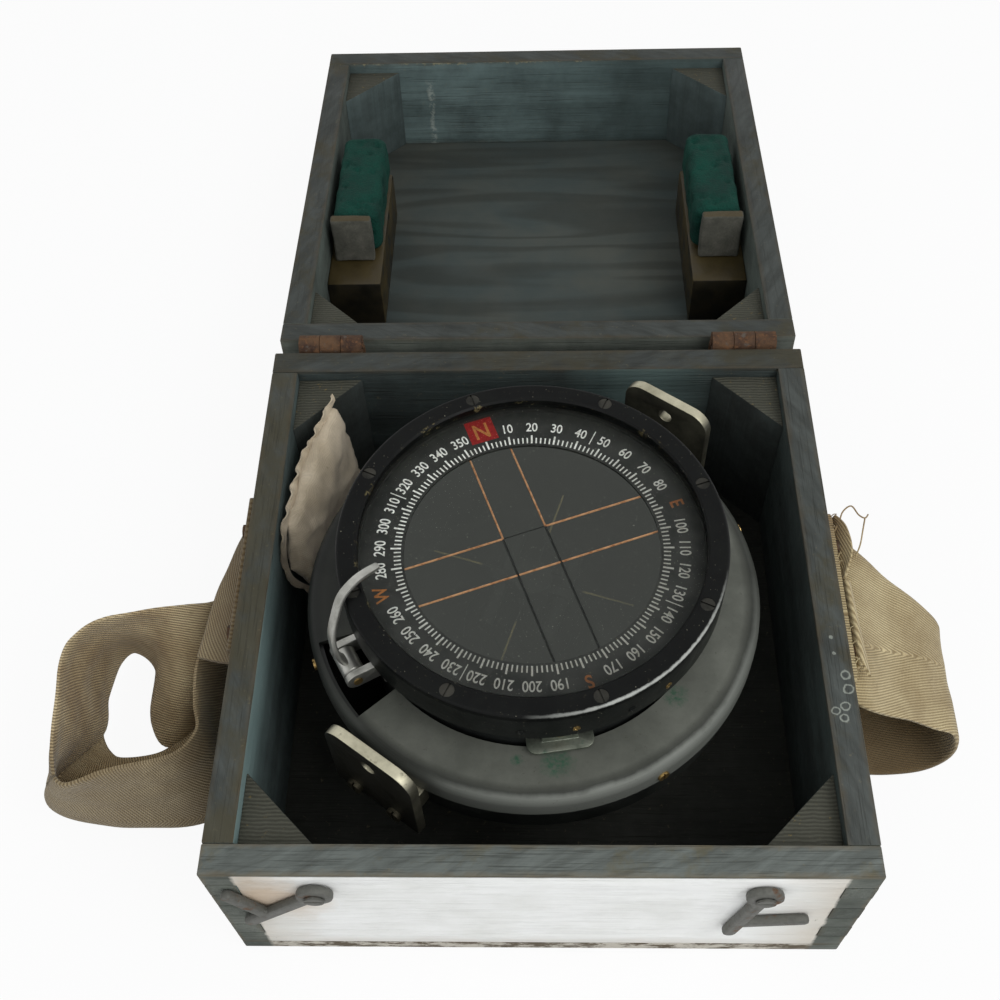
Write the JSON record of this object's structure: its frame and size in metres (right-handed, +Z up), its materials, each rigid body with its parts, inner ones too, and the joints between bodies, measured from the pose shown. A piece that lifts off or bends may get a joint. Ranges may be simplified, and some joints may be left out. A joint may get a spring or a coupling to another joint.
{
  "type": "aircraft compass in transit box",
  "caption": "Round pilot's aircraft compass with a turning grid ring and clamp, standing in a hinged wooden transit box with webbing handles, hook latches and lid pads.",
  "frame": {"origin": "centre of the underside of the tray's base board", "axes": "+Z up, +Y from the front of the tray towards its hinges, +X to the right seen from the front"},
  "size_m": [0.4003, 0.5223, 0.1352],
  "materials": {
    "grey_paint": "worn matt grey-green paint on planed board",
    "white_paint": "stained white paint on planed board",
    "ply": "bare weathered plywood",
    "varnished_wood": "varnished softwood",
    "rusty_iron": "rusted sheet and wire",
    "cast_iron": "dull casting",
    "webbing": "ribbed cotton webbing",
    "bag_cloth": "plain grey cloth",
    "felt": "pressed felt",
    "sponge": "green sponge rubber",
    "black_enamel": "worn black enamel",
    "bare_alloy": "dull cast alloy, bright at the lip",
    "nickel": "worn nickel plate",
    "brass": "tarnished",
    "steel": "plain",
    "black_rubber": "moulded",
    "dial_paint": "matt dark grey, pale figures",
    "copper_wire": "drawn wire",
    "ivory_paint": "matt",
    "clear_glass": "polished"
  },
  "bodies": {
    "tray": {"front_wall": "white_paint", "rear_wall": "grey_paint", "left_wall": "grey_paint", "right_wall": "grey_paint", "base_board": "ply", "tray_corner_blocks": "grey_paint", "tray_hinge_leaves": "rusty_iron", "tray_hinge_screws": "rusty_iron", "hinge_pins": "rusty_iron", "latch_screws": "steel", "handle_strap_left": "webbing", "handle_strap_right": "webbing", "handle_nails": "rusty_iron", "cloth_bag": "bag_cloth"},
    "left_hook": {"latch_hook_left": "cast_iron"},
    "right_hook": {"latch_hook_right": "cast_iron"},
    "lid": {"lid_front_wall": "grey_paint", "lid_rear_wall": "grey_paint", "lid_left_wall": "grey_paint", "lid_right_wall": "grey_paint", "lid_panel": "ply", "lid_corner_blocks": "grey_paint", "lid_hinge_leaves": "rusty_iron", "lid_hinge_screws": "rusty_iron", "latch_studs": "steel", "pad_blocks": "varnished_wood", "pad_felts": "felt", "sponge_pads": "sponge"},
    "compass": {"case_pan": "black_enamel", "case_flange": "bare_alloy", "case_screws": "brass", "mounting_lugs": "nickel", "lug_screws": "nickel", "corrector_housing": "black_enamel", "rubber_mounts": "black_rubber", "bowl": "black_enamel", "bowl_seal": "black_rubber", "bowl_glass": "clear_glass", "bowl_glass_lock": "black_enamel", "expansion_chamber": "brass", "filler_plug": "brass", "pivot_post": "brass", "lubber_mark": "ivory_paint", "bowl_stops": "nickel", "bowl_screws": "brass", "clamp_bracket": "nickel", "clamp_pin": "brass"},
    "grid": {"grid_ring": "black_enamel", "bezel": "black_enamel", "bezel_screws": "steel", "scale_ring": "dial_paint", "grid_wires": "copper_wire", "grid_glass": "clear_glass"},
    "magnet_system": {"magnet_carrier": "black_enamel", "bar_magnets": "steel"},
    "clamp": {"clamp_lever": "nickel"},
    "fore_aft_corrector": {"fore_aft_spindle": "brass", "fore_aft_magnet": "steel"},
    "athwart_corrector": {"athwart_spindle": "brass", "athwart_magnet": "steel"}
  },
  "joints": [
    {"name": "lid_hinge", "type": "hinge", "parent": "tray", "child": "lid", "pos_m": [0, 0.1312, 0.091], "axis": [-1, 0, 0], "range_deg": [-184.37, 0]},
    {"name": "left_hook_pivot", "type": "hinge", "parent": "tray", "child": "left_hook", "pos_m": [-0.083, -0.125, 0.0775], "axis": [0, 1, 0], "range_deg": [-43, 125.9]},
    {"name": "right_hook_pivot", "type": "hinge", "parent": "tray", "child": "right_hook", "pos_m": [0.083, -0.125, 0.0775], "axis": [0, -1, 0], "range_deg": [0, 179.9]},
    {"name": "compass_lift", "type": "slide", "parent": "tray", "child": "compass", "axis": [0, 0, 1], "range_m": [0, 0.13]},
    {"name": "grid_ring_turn", "type": "hinge", "parent": "compass", "child": "grid", "pos_m": [-0.002, -0.003, 0.12], "axis": [0, 0, 1], "continuous": true},
    {"name": "magnet_swing", "type": "hinge", "parent": "compass", "child": "magnet_system", "pos_m": [-0.002, -0.003, 0.094], "axis": [0, 0, 1], "continuous": true},
    {"name": "clamp_turn", "type": "hinge", "parent": "compass", "child": "clamp", "pos_m": [-0.07416, -0.043, 0.1], "axis": [0.4848, -0.8746, 0], "range_deg": [0, 60]},
    {"name": "fore_aft_key", "type": "hinge", "parent": "compass", "child": "fore_aft_corrector", "pos_m": [-0.002, -0.003, 0.0221], "axis": [-0.5878, -0.809, 0], "continuous": true},
    {"name": "athwart_key", "type": "hinge", "parent": "compass", "child": "athwart_corrector", "pos_m": [-0.002, -0.003, 0.0221], "axis": [0.809, -0.5878, 0], "continuous": true}
  ]
}
